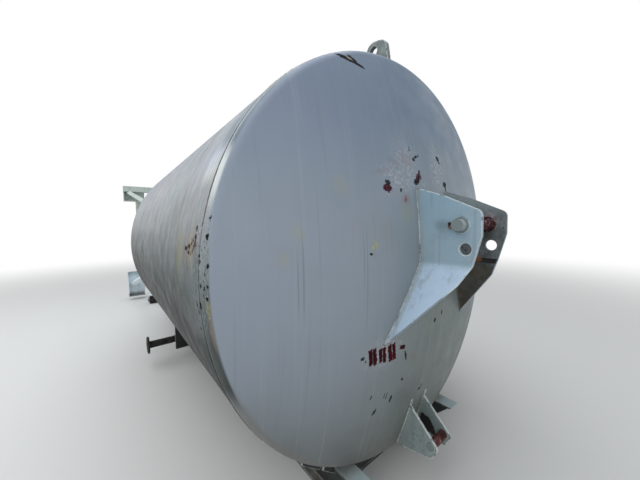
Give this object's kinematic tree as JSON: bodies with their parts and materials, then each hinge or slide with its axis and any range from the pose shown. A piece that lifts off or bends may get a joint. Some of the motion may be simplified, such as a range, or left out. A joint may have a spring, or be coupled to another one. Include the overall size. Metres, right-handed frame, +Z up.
{
  "type": "mobile lime silo",
  "caption": "Mobile lime silo lying on two carrying rails, with dished head, pick-up bar bracket, clevis, lifting lug, cone with flanged outlet, legs, feet, base frame and rear rollers.",
  "frame": {"origin": "on the ground, under the middle of the object's box", "axes": "+Y from the dished head to the feet along the lying silo's axis, +X to the right seen from in front of the head, +Z up"},
  "size_m": [2.4, 6.828, 2.7836],
  "materials": {
    "head_paint": "weathered satin off-white paint",
    "shell_paint": "weathered satin off-white paint with rain streaks",
    "bracket_paint": "blue-grey paint worn to steel at the edges",
    "frame_paint": "dusty blue-grey paint",
    "worn_bar": "paint worn off, red-brown rust",
    "rusty_pin": "red primer and rust",
    "roller_steel": "dark worn steel",
    "dark_pipe": "dirty dark paint"
  },
  "bodies": {
    "silo": {"dished_head": "head_paint", "shell_plate_1": "shell_paint", "shell_plate_2": "shell_paint", "shell_plate_3": "shell_paint", "shell_plate_4": "shell_paint", "shell_plate_5": "shell_paint", "shell_plate_6": "shell_paint", "cone_plate_1": "shell_paint", "cone_plate_2": "shell_paint", "cone_plate_3": "shell_paint", "cone_plate_4": "shell_paint", "outlet": "shell_paint", "hook_plate_left": "bracket_paint", "hook_plate_right": "bracket_paint", "hook_bar": "worn_bar", "clevis_plate_left": "bracket_paint", "clevis_plate_right": "bracket_paint", "clevis_pin": "rusty_pin", "lifting_lug": "bracket_paint", "rail_left": "frame_paint", "rail_right": "frame_paint", "saddle_front": "frame_paint", "saddle_middle": "frame_paint", "cross_member_1": "frame_paint", "cross_member_2": "frame_paint", "cross_member_3": "frame_paint", "cross_member_4": "frame_paint", "leg_upper_left": "frame_paint", "leg_upper_right": "frame_paint", "leg_lower_left": "frame_paint", "leg_lower_right": "frame_paint", "foot_upper_left": "frame_paint", "foot_upper_right": "frame_paint", "foot_lower_left": "frame_paint", "foot_lower_right": "frame_paint", "base_beam_top": "frame_paint", "base_beam_bottom": "frame_paint", "base_beam_left": "frame_paint", "base_beam_right": "frame_paint", "rail_post_left": "frame_paint", "rail_post_right": "frame_paint", "roller_bracket_left": "frame_paint", "roller_bracket_right": "frame_paint", "fill_pipe": "dark_pipe"},
    "left_roller": {"roller_left": "roller_steel"},
    "right_roller": {"roller_right": "roller_steel"}
  },
  "joints": [
    {"name": "left_roller_spin", "type": "hinge", "parent": "silo", "child": "left_roller", "pos_m": [-0.698, 2.694, 0.08], "axis": [1, 0, 0], "continuous": true},
    {"name": "right_roller_spin", "type": "hinge", "parent": "silo", "child": "right_roller", "pos_m": [0.698, 2.694, 0.08], "axis": [1, 0, 0], "continuous": true}
  ]
}
